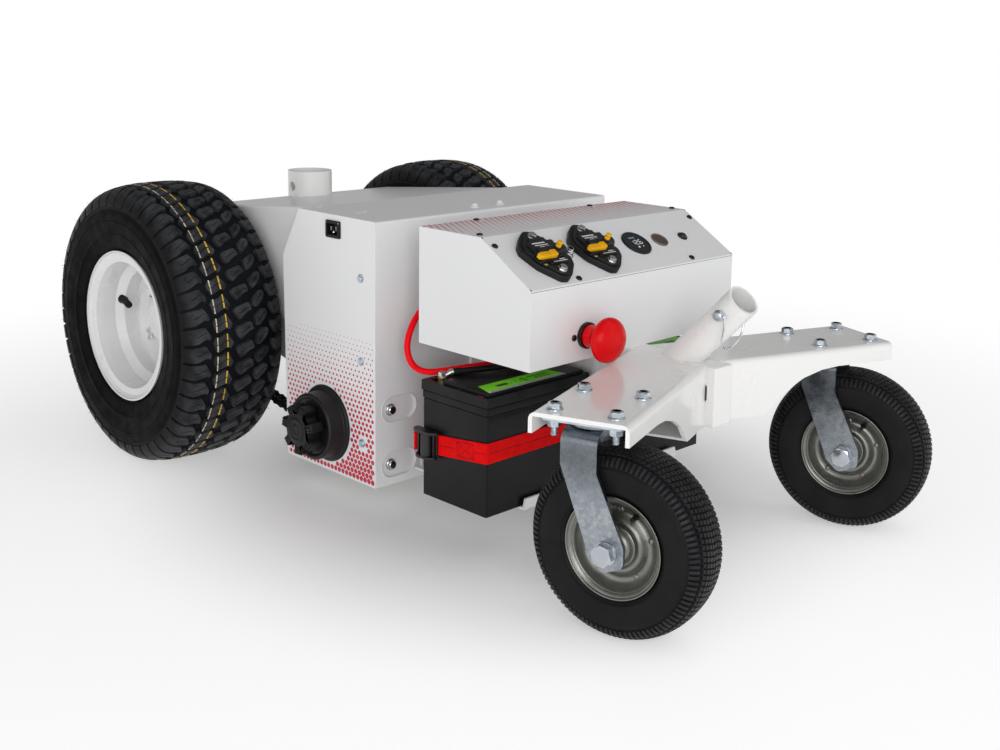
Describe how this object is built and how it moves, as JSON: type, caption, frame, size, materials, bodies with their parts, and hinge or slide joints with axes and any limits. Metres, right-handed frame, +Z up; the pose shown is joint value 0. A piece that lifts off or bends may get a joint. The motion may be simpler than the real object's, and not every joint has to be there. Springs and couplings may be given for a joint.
{
  "type": "powered trailer dolly",
  "caption": "Motorised trailer dolly: steel housing with receiver tube, turf-tyred drive wheels, strapped batteries, sloped control box and a swept front frame on swivel casters.",
  "frame": {"origin": "middle of the footprint on the floor", "axes": "+Z up, +Y to the drive wheels at the rear, +X to the right for someone at the casters who looks rearwards: the charger inlet and clutch knob are on -X"},
  "size_m": [0.752, 1.2647, 0.445],
  "materials": {
    "white": "gloss powder coat",
    "frame_white": "gloss powder coat",
    "black_plastic": "satin moulded",
    "black_case": "satin moulded",
    "rubber_black": "matte",
    "tyre": "matte",
    "zinc": "bright zinc plate",
    "steel": "plain",
    "dark_steel": "oiled",
    "rim_steel": "metallic grey lacquer",
    "rim_white": "gloss powder coat",
    "brass": "plain",
    "aluminium": "cast",
    "red_plastic": "gloss",
    "yellow_plastic": "satin",
    "webbing": "woven",
    "red_cable": "satin",
    "black_cable": "satin"
  },
  "bodies": {
    "chassis": {"arm_left": "frame_white", "arm_right": "frame_white", "axle_bearings": "dark_steel", "axle_cover": "white", "battery_left": "black_case", "battery_right": "black_case", "battery_straps": "webbing", "battery_terminals": "brass", "battery_trays": "frame_white", "breaker_bodies": "black_plastic", "cable_black": "black_cable", "cable_grommets": "rubber_black", "cable_red": "red_cable", "caster_bolts": "zinc", "caster_plates": "zinc", "charger_inlet": "black_plastic", "chassis_frame": "frame_white", "control_box_body": "white", "control_box_lid": "white", "cover_screws": "zinc", "drive_chain": "dark_steel", "drive_motor": "black_case", "estop_switch": "black_plastic", "gearbox": "aluminium", "handle_socket": "frame_white", "lock_pin": "zinc", "main_cover": "white", "motor_controller": "aluminium", "motor_drum": "black_plastic", "neck_tube": "frame_white", "panel_indicators": "black_plastic", "receiver_tube": "frame_white", "side_panel_left": "white", "side_panel_right": "white", "strap_buckles": "black_plastic", "volt_gauge": "black_plastic"},
    "axle_assembly": {"rear_axle": "steel", "axle_sprocket": "dark_steel", "drive_hubs": "steel", "drive_rim_left": "rim_white", "drive_rim_right": "rim_white", "drive_tyre_left": "tyre", "drive_tyre_right": "tyre", "wheel_nuts": "zinc"},
    "clutch_shaft": {"drive_sprocket": "dark_steel"},
    "left_swivel": {"caster_left_fork": "zinc", "caster_left_axle": "zinc"},
    "left_caster_wheel": {"caster_left_rim": "rim_steel", "caster_left_tyre": "tyre"},
    "right_swivel": {"caster_right_fork": "zinc", "caster_right_axle": "zinc"},
    "right_caster_wheel": {"caster_right_rim": "rim_steel", "caster_right_tyre": "tyre"},
    "stop_button": {"estop_button": "red_plastic"},
    "left_lever": {"breaker_left_lever": "yellow_plastic"},
    "right_lever": {"breaker_right_lever": "yellow_plastic"},
    "left_trip": {"breaker_left_button": "yellow_plastic"},
    "right_trip": {"breaker_right_button": "yellow_plastic"},
    "knob": {"clutch_knob": "black_plastic"},
    "bail": {"pin_bail": "zinc"}
  },
  "joints": [
    {"name": "axle_spin", "type": "hinge", "parent": "chassis", "child": "axle_assembly", "pos_m": [0, 0.40987, 0.2225], "axis": [1, 0, 0], "continuous": true},
    {"name": "clutch_shaft_spin", "type": "hinge", "parent": "chassis", "child": "clutch_shaft", "pos_m": [-0.183, 0.05637, 0.1194], "axis": [1, 0, 0], "continuous": true},
    {"name": "left_caster_swivel", "type": "hinge", "parent": "chassis", "child": "left_swivel", "pos_m": [-0.2462, -0.48124, 0.25], "axis": [0, 0, 1], "continuous": true},
    {"name": "left_caster_roll", "type": "hinge", "parent": "left_swivel", "child": "left_caster_wheel", "pos_m": [-0.23741, -0.51872, 0.114], "axis": [0.9736, 0.2284, 0], "continuous": true},
    {"name": "right_caster_swivel", "type": "hinge", "parent": "chassis", "child": "right_swivel", "pos_m": [0.2462, -0.48124, 0.25], "axis": [0, 0, 1], "continuous": true},
    {"name": "right_caster_roll", "type": "hinge", "parent": "right_swivel", "child": "right_caster_wheel", "pos_m": [0.25873, -0.51764, 0.114], "axis": [0.9455, 0.3256, 0], "continuous": true},
    {"name": "clutch_knob_turn", "type": "hinge", "parent": "chassis", "child": "knob", "pos_m": [-0.28, 0.05637, 0.1194], "axis": [-1, 0, 0], "range_deg": [0, 90]},
    {"name": "stop_button_push", "type": "slide", "parent": "chassis", "child": "stop_button", "axis": [0, 1, 0], "range_m": [0, 0.005]},
    {"name": "left_breaker_lever", "type": "hinge", "parent": "chassis", "child": "left_lever", "pos_m": [-0.144, -0.30928, 0.4099], "axis": [0, 0.8514, 0.5246], "range_deg": [0, 60]},
    {"name": "right_breaker_lever", "type": "hinge", "parent": "chassis", "child": "right_lever", "pos_m": [-0.0485, -0.30928, 0.4099], "axis": [0, 0.8514, 0.5246], "range_deg": [0, 60]},
    {"name": "left_trip_button", "type": "slide", "parent": "chassis", "child": "left_trip", "axis": [0, 0.5246, -0.8514], "range_m": [0, 0.003], "stiffness_N_per_m": 400},
    {"name": "right_trip_button", "type": "slide", "parent": "chassis", "child": "right_trip", "axis": [0, 0.5246, -0.8514], "range_m": [0, 0.003], "stiffness_N_per_m": 400},
    {"name": "pin_bail_swing", "type": "hinge", "parent": "chassis", "child": "bail", "pos_m": [-0.0275, -0.48408, 0.34105], "axis": [0, 1, 0], "range_deg": [0, 100]}
  ],
  "couplings": [
    {"joint": "clutch_shaft_spin", "follows": "axle_spin", "ratio": 1.6364}
  ]
}
